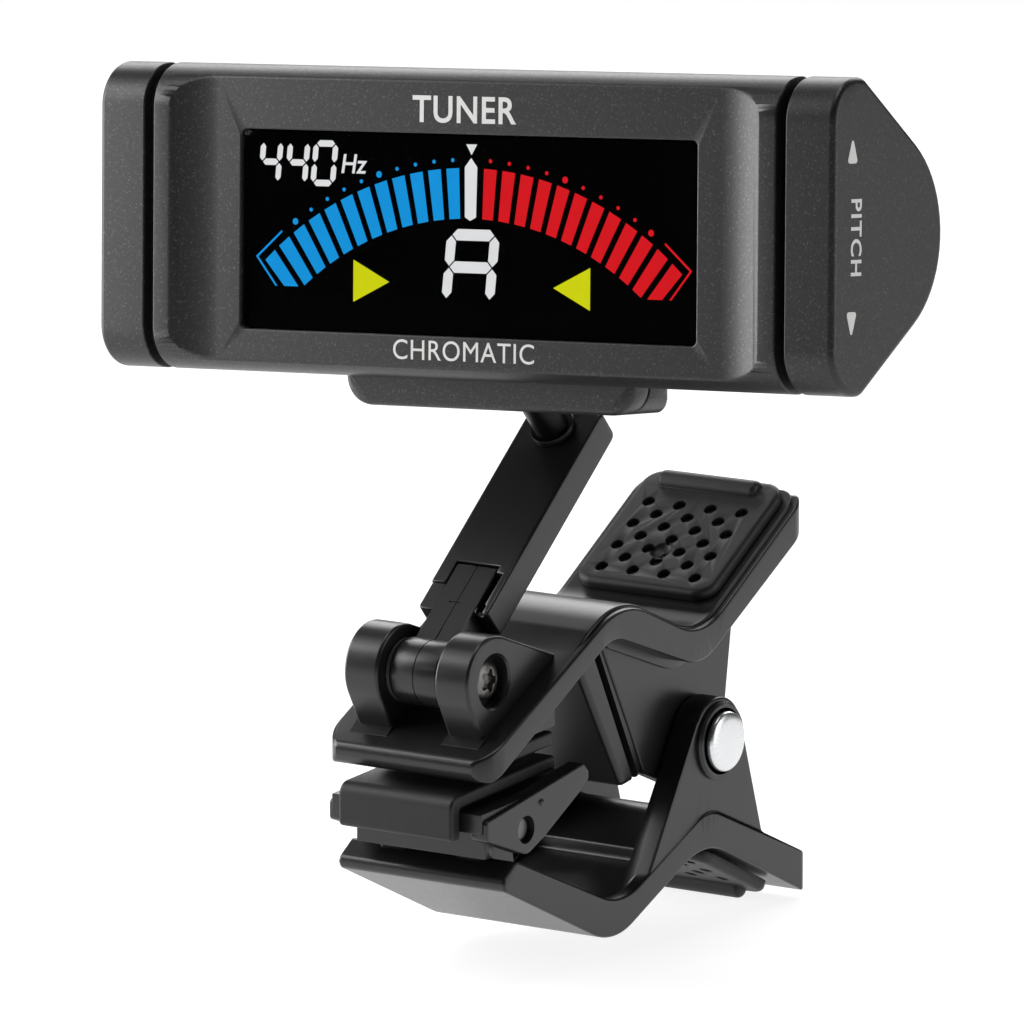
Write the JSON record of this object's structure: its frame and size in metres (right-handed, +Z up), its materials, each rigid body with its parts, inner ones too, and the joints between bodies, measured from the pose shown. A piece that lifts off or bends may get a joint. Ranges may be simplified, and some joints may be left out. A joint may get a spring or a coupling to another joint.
{
  "type": "clip on tuner",
  "caption": "Clip-on instrument tuner: a colour display head on a ball joint and hinged arm, carried by a spring clip with a rocking rubber jaw.",
  "frame": {"origin": "middle of the gripping gap between the jaws, above the rocker's pin", "axes": "+X to the right as the display is read, +Y from the jaws back to the thumb plates, +Z up"},
  "size_m": [0.0734, 0.0476, 0.0751],
  "materials": {
    "satin_paint": "satin metallic grey paint over plastic, fine speckle",
    "clip_plastic": "smooth satin moulded black plastic",
    "rubber": "matt moulded rubber",
    "bright_steel": "turned face with fine circular brushing",
    "spring_steel": "drawn spring wire",
    "dark_steel": "dark zinc plate",
    "window": "clear acrylic over a black display",
    "display": "black colour liquid crystal panel",
    "board": "green solder mask",
    "chip": "black moulded package",
    "nylon": "natural nylon",
    "cell": "printed steel jacket",
    "brass": "bare brass"
  },
  "bodies": {
    "upper_lever": {"upper_lever": "clip_plastic", "upper_thumb_grip": "rubber", "upper_jaw_pad": "rubber", "pivot_pin": "bright_steel", "pivot_cap": "bright_steel", "torsion_spring": "spring_steel", "hinge_screw": "dark_steel", "hinge_nut": "dark_steel", "hinge_washer_left": "nylon", "hinge_washer_right": "nylon"},
    "lower_lever": {"lower_lever": "clip_plastic", "lower_thumb_grip": "rubber", "rocker_pin": "dark_steel"},
    "jaw_rocker": {"jaw_rocker": "clip_plastic", "rocker_pad": "rubber"},
    "arm": {"arm": "clip_plastic", "arm_knuckle": "clip_plastic"},
    "ball_stud": {"ball_stud": "dark_steel", "stud_clip": "dark_steel"},
    "socket_liner": {"socket_liner": "nylon"},
    "head": {"front_case": "satin_paint", "rear_case": "satin_paint", "display_window": "window", "lcd_panel": "display", "circuit_board": "board", "processor_chip": "chip", "piezo_disc": "brass", "battery_cell": "cell", "battery_spring_contact": "spring_steel", "battery_plate_contact": "spring_steel", "power_switch": "chip", "calibration_switch": "chip", "case_screw_1": "dark_steel", "case_screw_2": "dark_steel", "case_screw_3": "dark_steel", "case_screw_4": "dark_steel"},
    "battery_door": {"battery_door": "satin_paint"},
    "power_shuttle": {"power_shuttle": "satin_paint"},
    "calibration_shuttle": {"calibration_shuttle": "satin_paint"}
  },
  "joints": [
    {"name": "clip_open", "type": "hinge", "parent": "upper_lever", "child": "lower_lever", "pos_m": [0, 0.0271, -0.00175], "axis": [1, 0, 0], "range_deg": [0, 30], "stiffness_Nm_per_rad": 0.12, "springref_deg": -68.75, "deforming": ["torsion_spring"]},
    {"name": "rocker_tilt", "type": "hinge", "parent": "lower_lever", "child": "jaw_rocker", "pos_m": [0, 0.00005, -0.0045], "axis": [1, 0, 0], "range_deg": [-6, 6]},
    {"name": "arm_fold", "type": "hinge", "parent": "upper_lever", "child": "arm", "pos_m": [0, -0.002, 0.00775], "axis": [1, 0, 0], "range_deg": [-3, 120]},
    {"name": "head_swivel", "type": "hinge", "parent": "arm", "child": "ball_stud", "pos_m": [0, 0.0093, 0.03182], "axis": [0, -0.6547, 0.7559], "range_deg": [-45, 45]},
    {"name": "head_tilt", "type": "hinge", "parent": "ball_stud", "child": "socket_liner", "pos_m": [0, 0.0093, 0.03182], "axis": [1, 0, 0], "range_deg": [-15, 15]},
    {"name": "head_roll", "type": "hinge", "parent": "socket_liner", "child": "head", "pos_m": [0, 0.0093, 0.03182], "axis": [0, 0.7559, 0.6547], "range_deg": [-15, 15]},
    {"name": "battery_door_pull", "type": "slide", "parent": "head", "child": "battery_door", "axis": [0.0063, 0.9949, -0.1009], "range_m": [0, 0.012]},
    {"name": "power_rock", "type": "hinge", "parent": "head", "child": "power_shuttle", "pos_m": [-0.03313, 0.00835, 0.04081], "axis": [0.998, 0, 0.0628], "range_deg": [-8, 8], "stiffness_Nm_per_rad": 0.02},
    {"name": "calibration_rock", "type": "hinge", "parent": "head", "child": "calibration_shuttle", "pos_m": [0.03414, 0.00835, 0.04505], "axis": [0.998, 0, 0.0628], "range_deg": [-8, 8], "stiffness_Nm_per_rad": 0.02}
  ]
}
